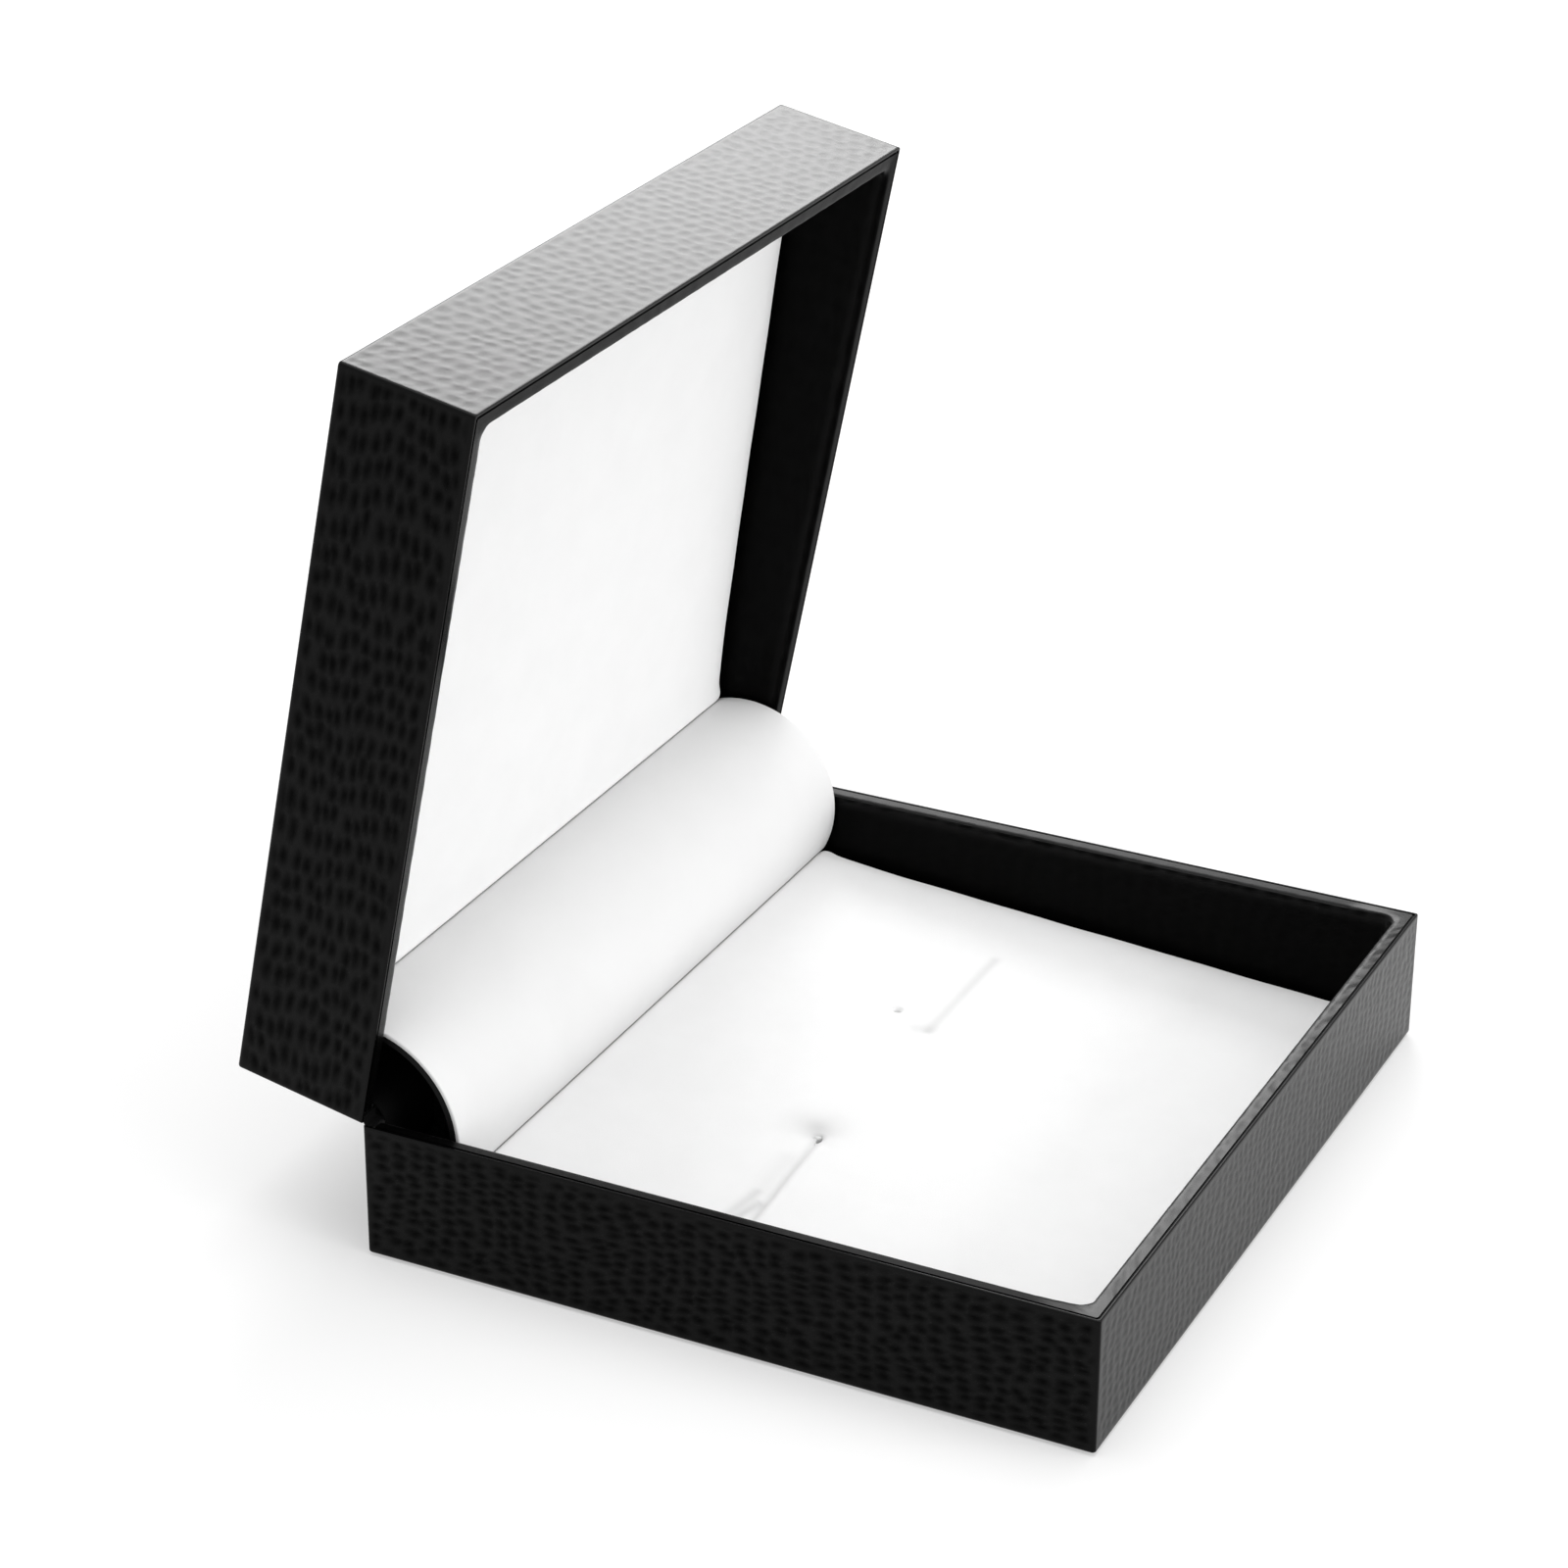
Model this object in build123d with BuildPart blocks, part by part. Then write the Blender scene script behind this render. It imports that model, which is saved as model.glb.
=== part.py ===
from build123d import *
import os
from math import acos, atan2, cos, radians, sin, sqrt

# A hinged jewelry box in embossed leatherette, standing open. X runs along the hinge,
# Y from the front to the back and Z up, with the origin under the middle of the base.

# Box
box_width = 115.0
box_depth = 100.0
base_height = 19.0
lid_height = 18.7
open_angle = 78.7  # of the lid as it stands, 0 when shut
rim_gap = 0.3  # between the two rims when shut

# Boards and what covers them
skin = 0.3  # leatherette
wall_board = 2.0
back_board = 1.2  # thin, to leave the hinge cover room to swing
floor_board = 1.2
bottom_sheet = 0.3
bottom_inset = 1.5
floor_lining = 0.2
turn_under = 8.0  # leatherette glued under the floor
corner_radius = 0.4
edge_radius = 0.35
rim_seam = 0.35  # groove between the outer leatherette and the rim liner
liner_corner = 2.0

# Pad in the base and panel in the lid
fabric = 0.5
pad_board = 0.6
pad_foam = 0.9
pad_rear_depth = 9.3  # of its face below the rim, beside the hinge cover
panel_board = 0.8
panel_foam = 2.4
panel_rear_depth = 9.2
insert_gap = 0.8  # round both inserts
insert_edge = 1.0
pad_seat = 0.05

# Slits and earring holes in the pad
slit_length = 21.0
slit_width = 0.5
slit_offset = 27.0  # from the middle of the box to the middle of a slit
slit_reach = 45.0  # from the hinge line
hole_radius = 0.8
left_hole_offset = 17.0
left_hole_reach = 44.5
right_hole_offset = 19.5
right_hole_reach = 39.0

# Hinge
pin_radius = 0.6
pin_head = 0.5
pin_head_radius = 1.0
bore_clearance = 0.04
knuckle_radius = 1.2
knuckle_length = 11.2
knuckle_gap = 0.3
knuckles_each_side = 3
notch_clearance = 0.15
leaf = 0.5
leaf_depth = 9.5
cam_flat = 0.15  # cut off the middle knuckle
rivet_radius = 0.7
rivet_head_radius = 1.4
rivet_head = 0.5
rivet_depth = 6.0
rivet_clearance = 0.05
rivet_places = (-34.0, -14.0, 14.0, 34.0)

# Snap spring
spring = 0.3
spring_width = 8.0
spring_clearance = 0.1
spring_foot = 1.0  # short of the leaf's lower edge
spring_bend = 2.4  # depth where the strip leaves the leaf
spring_knee = 0.9  # depth where it straightens along the middle knuckle
spring_tip = 0.25

# Hinge cover
cover_radius = 14.5
cover_setback = 3.0  # of the arc's centre behind the hinge line
cover_fabric = 0.6
cover_plate = 0.7
cover_wall_gap = 0.4
cover_end_gap = 0.6
arm = 1.0
arm_neck = 1.0  # half the height of the neck that reaches the pin
insert_clearance = 0.5  # from the cover's sweep to the inserts

# Worked out from the above
rim = rim_gap / 2
side_wall = skin + wall_board + skin
back_wall = skin + back_board
bore_radius = pin_radius + bore_clearance
notch_depth = knuckle_radius + notch_clearance
knuckle_pitch = knuckle_length + knuckle_gap
leaf_half = knuckles_each_side * knuckle_pitch + knuckle_length / 2
arm_start = leaf_half + knuckle_gap
pin_half = arm_start + arm + knuckle_gap
notch_half = pin_half + pin_head + knuckle_gap
base_outer = base_height - bottom_sheet
lid_outer = lid_height
base_seat = base_outer - skin - floor_board - floor_lining - pad_seat
lid_seat = lid_outer - skin - floor_board
plate_radius = cover_radius - cover_fabric
inner_radius = plate_radius - cover_plate
cover_end = acos((back_wall + cover_wall_gap + cover_setback) / inner_radius)
cover_half = box_width / 2 - side_wall - cover_end_gap
sweep_radius = sqrt(
    (cover_radius * cos(cover_end) - cover_setback) ** 2 + (cover_radius * sin(cover_end)) ** 2
)
arm_face = back_wall + leaf + rivet_head + cover_wall_gap

# Each half is drawn in its own frame on the hinge line: x along the hinge, y towards the
# front edge and z from the rim towards the outer face.
hinge_line = (0, box_depth / 2, base_height)
lid_turn = radians(open_angle)
base_tray = Plane(hinge_line, x_dir=(1, 0, 0), z_dir=(0, 0, -1))
lid_tray = Plane(hinge_line, x_dir=(-1, 0, 0), z_dir=(0, sin(lid_turn), cos(lid_turn)))
cover_side = Plane(
    hinge_line, x_dir=(0, -cos(lid_turn / 2), sin(lid_turn / 2)), z_dir=(1, 0, 0)
)

os.makedirs("parts", exist_ok=True)


def keep(piece, name):
    """Label a finished piece and write its file."""
    piece.part.label = name
    export_step(piece.part, f"parts/{name}.step")


def side_of(tray):
    """The tray's end view: x towards the front edge, y from the rim to the outer face."""
    return Plane(tray.origin, x_dir=tray.y_dir, z_dir=tray.x_dir)


def block(plane, x_span, y_span, z_span, mode=Mode.ADD):
    """A rectangular block between the given limits of a frame."""
    with BuildSketch(plane.offset(z_span[0])) as outline:
        with Locations(((x_span[0] + x_span[1]) / 2, (y_span[0] + y_span[1]) / 2)):
            Rectangle(x_span[1] - x_span[0], y_span[1] - y_span[0])
    extrude(outline.sketch, amount=z_span[1] - z_span[0], mode=mode)


def half(width):
    """Limits of a width centred on the middle of the box."""
    return (-width / 2, width / 2)


def hinge_notch(tray):
    """Make room for the hinge barrel in the back of a tray."""
    reach = back_wall + knuckle_radius
    block(tray, half(2 * notch_half), (-knuckle_radius, reach), (0, notch_depth), Mode.SUBTRACT)


def spring_relief(tray):
    """Make room for the snap spring behind the middle knuckle."""
    reach = back_wall + leaf
    width = knuckle_length + 2 * knuckle_gap
    block(tray, half(width), (skin, reach), (0, spring_bend), Mode.SUBTRACT)


def rivet_holes(tray):
    """Holes for the rivets through what lies at the back of a tray."""
    with BuildSketch(Plane(tray.origin, x_dir=tray.x_dir, z_dir=-tray.y_dir)) as holes:
        with Locations(*[(x, rivet_depth) for x in rivet_places]):
            Circle(rivet_radius + rivet_clearance)
    extrude(holes.sketch, amount=-(back_wall + leaf + rivet_head), mode=Mode.SUBTRACT)


# Boards


def boards(tray, box_half, outer, floor_name):
    """The five boards of the base or the lid, butted inside the leatherette."""
    far_end = outer - skin
    inner_x = box_width - 2 * (skin + wall_board)
    inner_front = box_depth - skin - wall_board
    wall_span = (rim + skin, far_end)

    for side, sign in (("left", -1), ("right", 1)):
        edges = [sign * tray.x_dir.X * x for x in (inner_x / 2, inner_x / 2 + wall_board)]
        with BuildPart() as side_board:
            block(tray, sorted(edges), (skin, box_depth - skin), wall_span)
        keep(side_board, f"{box_half}_{side}_board")

    with BuildPart() as front_board:
        block(tray, half(inner_x), (inner_front, inner_front + wall_board), wall_span)
    keep(front_board, f"{box_half}_front_board")

    with BuildPart() as rear_board:
        block(tray, half(inner_x), (skin, back_wall), wall_span)
        hinge_notch(tray)
        if box_half == "base":
            spring_relief(tray)
        rivet_holes(tray)
    keep(rear_board, f"{box_half}_back_board")

    with BuildPart() as flat_board:
        block(tray, half(inner_x), (back_wall, inner_front), (far_end - floor_board, far_end))
    keep(flat_board, f"{box_half}_{floor_name}_board")


# Leatherette


def wrap(tray, box_half, outer, open_under):
    """Leatherette round the outside, over the lid's top or turned under the base."""
    with BuildPart() as leatherette:
        with BuildSketch(tray.offset(rim)):
            with Locations((0, box_depth / 2)):
                RectangleRounded(box_width, box_depth, corner_radius)
        extrude(amount=outer - rim)
        outline = leatherette.edges().group_by(Axis(tray.origin, tray.z_dir))[-1]
        fillet(outline, edge_radius)
        block(
            tray,
            half(box_width - 2 * skin),
            (skin, box_depth - skin),
            (rim, outer - skin),
            Mode.SUBTRACT,
        )
        if open_under:
            block(
                tray,
                half(box_width - 2 * turn_under),
                (turn_under, box_depth - turn_under),
                (outer - skin, outer),
                Mode.SUBTRACT,
            )
        hinge_notch(tray)
    keep(leatherette, f"{box_half}_wrap")


def liner(tray, box_half, floor):
    """One strip of leatherette over the rim and down the inside of three walls."""
    with BuildPart() as strip:
        for outset, z_span in ((wall_board + skin - rim_seam, (rim, rim + skin)), (skin, (rim, floor))):
            front = box_depth - side_wall + outset
            width = box_width - 2 * side_wall + 2 * outset
            block(tray, half(width), (back_wall, front), z_span)
        long_depth = box_depth - side_wall - back_wall + 2 * liner_corner
        with BuildSketch(tray.offset(rim)):
            with Locations((0, box_depth - side_wall - long_depth / 2)):
                RectangleRounded(box_width - 2 * side_wall, long_depth, liner_corner)
        extrude(amount=floor - rim, mode=Mode.SUBTRACT)
    keep(strip, f"{box_half}_liner")


def base_papers():
    """The sheet that the box stands on and the paper inside on its floor."""
    with BuildPart() as sheet:
        with BuildSketch(base_tray.offset(base_outer)):
            with Locations((0, box_depth / 2)):
                RectangleRounded(
                    box_width - 2 * bottom_inset, box_depth - 2 * bottom_inset, corner_radius
                )
        extrude(amount=bottom_sheet)
    keep(sheet, "base_bottom_sheet")

    floor = base_outer - skin - floor_board
    with BuildPart() as lining:
        with BuildSketch(base_tray.offset(floor - floor_lining)):
            with Locations((0, (back_wall + box_depth - side_wall) / 2)):
                RectangleRounded(
                    box_width - 2 * side_wall, box_depth - side_wall - back_wall, liner_corner
                )
        extrude(amount=floor_lining)
    keep(lining, "base_floor_lining")


# Pad and lid panel


def slits(plane, slope, front, thickness):
    """Chain slits and earring holes right through the pad."""
    with BuildSketch(plane) as openings:
        with Locations(*[(x, (front - slit_reach) / cos(slope)) for x in (-slit_offset, slit_offset)]):
            SlotOverall(slit_length, slit_width)
        with Locations(
            (-left_hole_offset, (front - left_hole_reach) / cos(slope)),
            (right_hole_offset, (front - right_hole_reach) / cos(slope)),
        ):
            Circle(hole_radius)
    extrude(openings.sketch, amount=thickness, mode=Mode.SUBTRACT)


def insert(tray, name, rear_depth, seat, board, foam, slitted):
    """A sloping insert: folded board with a rear leg, foam, and a fabric cap over both."""
    thickness = board + foam + fabric
    front = box_depth - side_wall - insert_gap
    rear = sqrt((sweep_radius + insert_clearance) ** 2 - rear_depth**2)
    width = box_width - 2 * side_wall - 2 * insert_gap
    slope = atan2(seat - thickness - rear_depth, front - rear)
    length = (front - rear) / cos(slope)
    face_normal = tray.y_dir * sin(slope) - tray.z_dir * cos(slope)
    plane = Plane(tray.from_local_coords(Vector(0, front, seat)), x_dir=tray.x_dir, z_dir=face_normal)
    core_x = half(width - 2 * fabric)
    core_y = (fabric, length - fabric)

    with BuildPart() as stiffener:
        block(plane, core_x, core_y, (0, board))
        leg_back = rear + fabric + thickness * sin(slope)
        leg_top = seat - (length - fabric) * sin(slope) - board / 2
        block(tray, core_x, (leg_back, leg_back + board), (leg_top, seat))
        if slitted:
            slits(plane, slope, front, thickness)
    keep(stiffener, f"{name}_board")

    with BuildPart() as padding:
        block(plane, core_x, core_y, (board, board + foam))
        if slitted:
            slits(plane, slope, front, thickness)
    keep(padding, f"{name}_foam")

    with BuildPart() as cap:
        block(plane, half(width), (0, length), (0, thickness))
        fillet(cap.faces().sort_by(Axis(plane.origin, plane.z_dir))[-1].edges(), insert_edge)
        block(plane, core_x, core_y, (0, board + foam), Mode.SUBTRACT)
        if slitted:
            slits(plane, slope, front, thickness)
    keep(cap, f"{name}_cover")


# Hinge


def leaf_piece(tray, box_half, first):
    """A steel leaf inside the back wall, with every other knuckle of the barrel."""
    side = side_of(tray)
    tab_top = knuckle_radius - leaf
    with BuildPart() as plate:
        block(tray, half(2 * leaf_half), (back_wall, back_wall + leaf), (tab_top, leaf_depth))
        if box_half == "base":
            spring_relief(tray)
        for index in range(first - knuckles_each_side, knuckles_each_side + 1, 2):
            with BuildSketch(side.offset(index * knuckle_pitch - knuckle_length / 2)):
                Circle(knuckle_radius)
                with Locations(((back_wall + leaf) / 2, knuckle_radius - leaf / 2)):
                    Rectangle(back_wall + leaf, leaf)
                Circle(bore_radius, mode=Mode.SUBTRACT)
                if index == 0:
                    for turn in (0, -open_angle):
                        with Locations(Location((0, 0, 0), (0, 0, turn))):
                            with Locations((knuckle_radius - cam_flat / 2, 0)):
                                Rectangle(cam_flat, 2 * (knuckle_radius - leaf), mode=Mode.SUBTRACT)
            extrude(amount=knuckle_length)
        rivet_holes(tray)
    keep(plate, f"hinge_{box_half}_leaf")


def rivets(tray, box_half):
    """Rivets through the leaf and the back board, flush under the leatherette."""
    shank = back_wall + leaf - skin
    with BuildPart() as group:
        for x in rivet_places:
            foot = tray.from_local_coords(Vector(x, skin, rivet_depth))
            with BuildSketch(Plane(foot, x_dir=tray.x_dir, z_dir=tray.y_dir)):
                Circle(rivet_radius)
            extrude(amount=shank)
            top = tray.from_local_coords(Vector(x, back_wall + leaf, rivet_depth))
            with BuildSketch(Plane(top, x_dir=tray.x_dir, z_dir=tray.y_dir)):
                Circle(rivet_head_radius)
            extrude(amount=rivet_head, taper=45)
    keep(group, f"{box_half}_rivets")


def hinge_small_parts():
    """The pin through the barrel, and the strip that snaps the lid open and shut."""
    with BuildPart() as pin:
        across = Plane(hinge_line, x_dir=(0, -1, 0), z_dir=(1, 0, 0))
        with BuildSketch(across):
            Circle(pin_radius)
        extrude(amount=pin_half, both=True)
        for end in (across.offset(pin_half), across.offset(-pin_half - pin_head)):
            with BuildSketch(end):
                Circle(pin_head_radius)
            extrude(amount=pin_head)
    keep(pin, "hinge_pin")

    leaf_face = back_wall + leaf
    tip_face = knuckle_radius + spring_clearance
    with BuildPart() as strip:
        with BuildSketch(side_of(base_tray)):
            with BuildLine():
                Polyline(
                    (leaf_face, leaf_depth - spring_foot),
                    (leaf_face, spring_bend),
                    (tip_face, spring_knee),
                    (tip_face, spring_tip),
                    (tip_face + spring, spring_tip),
                    (tip_face + spring, spring_knee),
                    (leaf_face + spring, spring_bend),
                    (leaf_face + spring, leaf_depth - spring_foot),
                    close=True,
                )
            make_face()
        extrude(amount=spring_width / 2, both=True)
    keep(strip, "hinge_spring")


# Hinge cover


def arc_band(outer, inner):
    """A band of the cover's arc, from its lower to its upper edge."""
    with BuildSketch(cover_side) as band:
        with Locations((-cover_setback, 0)):
            Circle(outer)
            Circle(inner, mode=Mode.SUBTRACT)
        reach = 2 * cover_radius
        with BuildLine():
            Polyline(
                (-cover_setback, 0),
                (-cover_setback + reach * cos(cover_end), reach * sin(cover_end)),
                (reach, reach * sin(cover_end)),
                (reach, -reach * sin(cover_end)),
                (-cover_setback + reach * cos(cover_end), -reach * sin(cover_end)),
                close=True,
            )
        make_face(mode=Mode.INTERSECT)
    extrude(band.sketch, amount=cover_half, both=True)


def hinge_cover():
    """The curved cover over the hinge, which turns on the pin at half the lid's rate."""
    with BuildPart() as plate:
        arc_band(plate_radius, inner_radius)
    keep(plate, "hinge_cover_plate")

    with BuildPart() as velvet:
        arc_band(cover_radius, plate_radius)
    keep(velvet, "hinge_cover_fabric")

    for side, start in (("left", -arm_start - arm), ("right", arm_start)):
        with BuildPart() as bracket:
            with BuildSketch(cover_side.offset(start)):
                with Locations((-cover_setback, 0)):
                    Circle(inner_radius)
                with Locations((arm_face + cover_radius, 0)):
                    Rectangle(2 * cover_radius, 2 * cover_radius, mode=Mode.INTERSECT)
                with Locations((arm_face / 2 + arm_neck, 0)):
                    Rectangle(arm_face + 2 * arm_neck, 2 * arm_neck)
                Circle(knuckle_radius)
                Circle(bore_radius, mode=Mode.SUBTRACT)
            extrude(amount=arm)
        keep(bracket, f"hinge_cover_{side}_arm")


boards(base_tray, "base", base_outer, "floor")
boards(lid_tray, "lid", lid_outer, "top")
wrap(base_tray, "base", base_outer, open_under=True)
wrap(lid_tray, "lid", lid_outer, open_under=False)
liner(base_tray, "base", base_outer - skin - floor_board)
liner(lid_tray, "lid", lid_seat)
base_papers()
insert(base_tray, "pad", pad_rear_depth, base_seat, pad_board, pad_foam, slitted=True)
insert(lid_tray, "lid_panel", panel_rear_depth, lid_seat, panel_board, panel_foam, slitted=False)
leaf_piece(base_tray, "base", first=0)
leaf_piece(lid_tray, "lid", first=1)
rivets(base_tray, "base")
rivets(lid_tray, "lid")
hinge_small_parts()
hinge_cover()
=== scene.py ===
# %% [markdown]
# # A jewelry box in embossed leatherette
# This lesson dresses a hinged jewelry box that stands open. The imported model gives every
# solid its place and its joints, so the first step is to load it as a fixed frame. What
# Blender adds is the look: pressed grain, soft pads, stretched fabric and the light.

# %% Load the frame
import math

import bmesh
import bpy
import numpy as np
from mathutils import Matrix, Vector


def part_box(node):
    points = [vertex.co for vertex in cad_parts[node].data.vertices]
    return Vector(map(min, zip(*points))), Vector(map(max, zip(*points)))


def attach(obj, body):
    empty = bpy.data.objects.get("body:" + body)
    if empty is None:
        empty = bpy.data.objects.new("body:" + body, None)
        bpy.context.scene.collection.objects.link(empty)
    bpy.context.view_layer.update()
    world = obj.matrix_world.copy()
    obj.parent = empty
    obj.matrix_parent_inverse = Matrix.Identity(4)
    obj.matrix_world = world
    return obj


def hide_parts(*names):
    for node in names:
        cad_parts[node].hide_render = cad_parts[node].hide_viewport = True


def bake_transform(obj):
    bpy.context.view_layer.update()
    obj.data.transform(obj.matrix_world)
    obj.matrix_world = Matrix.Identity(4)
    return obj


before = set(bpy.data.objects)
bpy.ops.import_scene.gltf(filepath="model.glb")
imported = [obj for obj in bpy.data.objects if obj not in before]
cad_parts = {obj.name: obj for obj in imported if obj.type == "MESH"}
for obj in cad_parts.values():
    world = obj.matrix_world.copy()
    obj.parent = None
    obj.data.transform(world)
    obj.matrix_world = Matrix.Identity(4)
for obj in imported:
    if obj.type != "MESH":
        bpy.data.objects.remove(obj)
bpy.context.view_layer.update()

# %% [markdown]
# ## Camera
# A picture is matched by its viewpoint first. The box was seen from its front left corner,
# a little above, through a long lens. The camera is turned by its azimuth about the upright
# axis, then tipped by its elevation, and last rolled a hair about its own line of sight.

# %% Place the camera
MM = 0.001
VIEWPOINT = Vector((-447.3, -200.0, 288.7)) * MM
AZIMUTH, ELEVATION, ROLL = (math.radians(angle) for angle in (-63.86, 25.75, 0.275))
FOCAL_LENGTH, SENSOR_WIDTH = 97.25, 36.0  # millimetres

lens = bpy.data.cameras.new("viewpoint")
lens.lens = FOCAL_LENGTH
lens.sensor_width = SENSOR_WIDTH
lens.clip_start = 10 * MM
camera = bpy.data.objects.new("viewpoint", lens)
bpy.context.scene.collection.objects.link(camera)
camera.matrix_world = (
    Matrix.Translation(VIEWPOINT)
    @ Matrix.Rotation(AZIMUTH, 4, "Z")
    @ Matrix.Rotation(math.pi / 2 - ELEVATION, 4, "X")
    @ Matrix.Rotation(ROLL, 4, "Z")
)
bpy.context.scene.camera = camera
bpy.context.scene.view_settings.view_transform = "Standard"
print("camera at", [round(v, 4) for v in camera.matrix_world.translation])

# %% [markdown]
# ## Node helper
# Materials and the grain press are node trees. Wiring them by hand is a lot of clicking, so
# one small helper adds a node, sets its options and fills its inputs with values or links.

# %% Add a node


def add(tree, kind, inputs=None, **options):
    """Add a node, set its options, and give its inputs values or links."""
    node = tree.nodes.new(kind)
    for name, value in options.items():
        setattr(node, name, value)
    for socket, value in (inputs or {}).items():
        if isinstance(value, bpy.types.NodeSocket):
            tree.links.new(value, node.inputs[socket])
        else:
            node.inputs[socket].default_value = value
    return node


def blend_colour(tree, factor, low, high):
    """Mix two colours by a factor that changes over the surface."""
    node = add(tree, "ShaderNodeMix", data_type="RGBA")
    for index, value in ((0, factor), (6, low), (7, high)):
        if isinstance(value, bpy.types.NodeSocket):
            tree.links.new(value, node.inputs[index])
        else:
            node.inputs[index].default_value = (*value, 1.0) if index else value
    return node.outputs[2]


def stretch(tree, value, low, high, to_low, to_high):
    """Map a value from one range to another, held at both ends."""
    node = add(
        tree,
        "ShaderNodeMapRange",
        {"Value": value, "From Min": low, "From Max": high, "To Min": to_low, "To Max": to_high},
    )
    return node.outputs["Result"]


def reckon(tree, operation, first, second):
    """One sum on two values."""
    return add(tree, "ShaderNodeMath", {0: first, 1: second}, operation=operation).outputs[0]


def reckon_vectors(tree, operation, first, second):
    """One sum on two vectors; gives both outputs, a vector and a value."""
    return add(tree, "ShaderNodeVectorMath", {0: first, 1: second}, operation=operation).outputs


def scale_vector(tree, vector, factor):
    """A vector made longer or shorter."""
    return add(tree, "ShaderNodeVectorMath", {0: vector, "Scale": factor}, operation="SCALE").outputs[0]


def seen_directly(tree):
    """One where the camera sees a surface straight, mirrored or through another, and else zero."""
    ray = add(tree, "ShaderNodeLightPath").outputs
    straight = reckon(tree, "MAXIMUM", ray["Is Camera Ray"], ray["Is Glossy Ray"])
    return reckon(tree, "MAXIMUM", straight, ray["Is Transmission Ray"])


# %% [markdown]
# ## Stage and light
# The box stands on a plain pale floor. A softbox behind it on the right stands just where
# the lid's front end mirrors it, two wide weak ones in front and overhead fill the white
# lining, and the front wall mirrors the floor. The left side stays dark, as on black goods
# in a light tent. The floor adds a little of its own white for the camera, so that it
# reads as white paper and still keeps the shadow.

# %% Floor
FLOOR_SIZE = 8.0  # metres
FLOOR_DROP = 0.1 * MM  # keeps the floor clear of the underside
PAPER_TONE, PAPER_GLOW = 0.62, 0.40
WHITE = (1.0, 1.0, 1.0, 1.0)

bpy.ops.object.select_all(action="DESELECT")
bpy.ops.mesh.primitive_plane_add(size=FLOOR_SIZE, location=(0, 0, -FLOOR_DROP))
floor = bpy.context.object
floor.name = "floor"
bpy.ops.object.transform_apply(location=True, rotation=True, scale=True)

paper = bpy.data.materials.new("floor_paper")
paper.use_nodes = True
tree = paper.node_tree
tree.nodes.clear()
lift = reckon(tree, "MULTIPLY", seen_directly(tree), PAPER_GLOW)
shade = add(tree, "ShaderNodeBsdfDiffuse", {"Color": (PAPER_TONE, PAPER_TONE, PAPER_TONE, 1.0)})
glow = add(tree, "ShaderNodeEmission", {"Color": WHITE, "Strength": lift})
both = add(tree, "ShaderNodeAddShader", {0: shade.outputs[0], 1: glow.outputs[0]})
add(tree, "ShaderNodeOutputMaterial", {"Surface": both.outputs[0]})
floor.data.materials.append(paper)
print("floor", tuple(round(v, 2) for v in floor.dimensions))

# %% World and lamps
AIM = Vector((0.0, 10.0, 50.0)) * MM
AMBIENT = 0.50

world = bpy.data.worlds.new("light_tent")
bpy.context.scene.world = world
world.use_nodes = True
tree = world.node_tree
tree.nodes.clear()
strength = stretch(tree, seen_directly(tree), 0.0, 1.0, AMBIENT, 1.0)
sky = add(tree, "ShaderNodeBackground", {"Color": WHITE, "Strength": strength})
add(tree, "ShaderNodeOutputWorld", {"Surface": sky.outputs[0]})


def softbox(name, towards, distance, width, height, brightness):
    """A flat lamp that faces the box, sizes in metres; brightness is its radiance."""
    lamp = bpy.data.lights.new(name, "AREA")
    lamp.shape = "RECTANGLE"
    lamp.size, lamp.size_y = width, height
    lamp.energy = brightness * math.pi * width * height
    stand = bpy.data.objects.new(name, lamp)
    bpy.context.scene.collection.objects.link(stand)
    stand.location = AIM + Vector(towards).normalized() * distance
    stand.rotation_euler = (AIM - stand.location).to_track_quat("-Z", "Y").to_euler()
    print(name, "energy", round(lamp.energy, 2))


softbox("key_behind_right", (0.78, 0.35, 0.52), 1.15, 0.36, 0.36, 9.2)
softbox("front_fill", (0.0, -1.0, 0.16), 1.3, 1.20, 0.75, 4.3)
softbox("overhead", (0.05, -0.05, 1.0), 1.3, 1.20, 1.20, 2.3)

# %% [markdown]
# ## Shared surface effects
# Two effects come back in many finishes. One is a fine grain: the pores of leatherette,
# the fibres of board and paper, the matt tooth of moulded plastic. The other is a slow
# mottling, because nothing real has exactly one colour. Each is a node group, built once
# and placed in every material with its own scale.

# %% Grain and mottling groups


def group(name, inputs, outputs):
    """A shader node group with float inputs and outputs; gives the tree and its two ends."""
    tree = bpy.data.node_groups.new(name, "ShaderNodeTree")
    for socket, default in inputs:
        made = tree.interface.new_socket(socket, in_out="INPUT", socket_type="NodeSocketFloat")
        made.default_value = default
    for socket in outputs:
        tree.interface.new_socket(socket, in_out="OUTPUT", socket_type="NodeSocketFloat")
    return tree, tree.nodes.new("NodeGroupInput"), tree.nodes.new("NodeGroupOutput")


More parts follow.
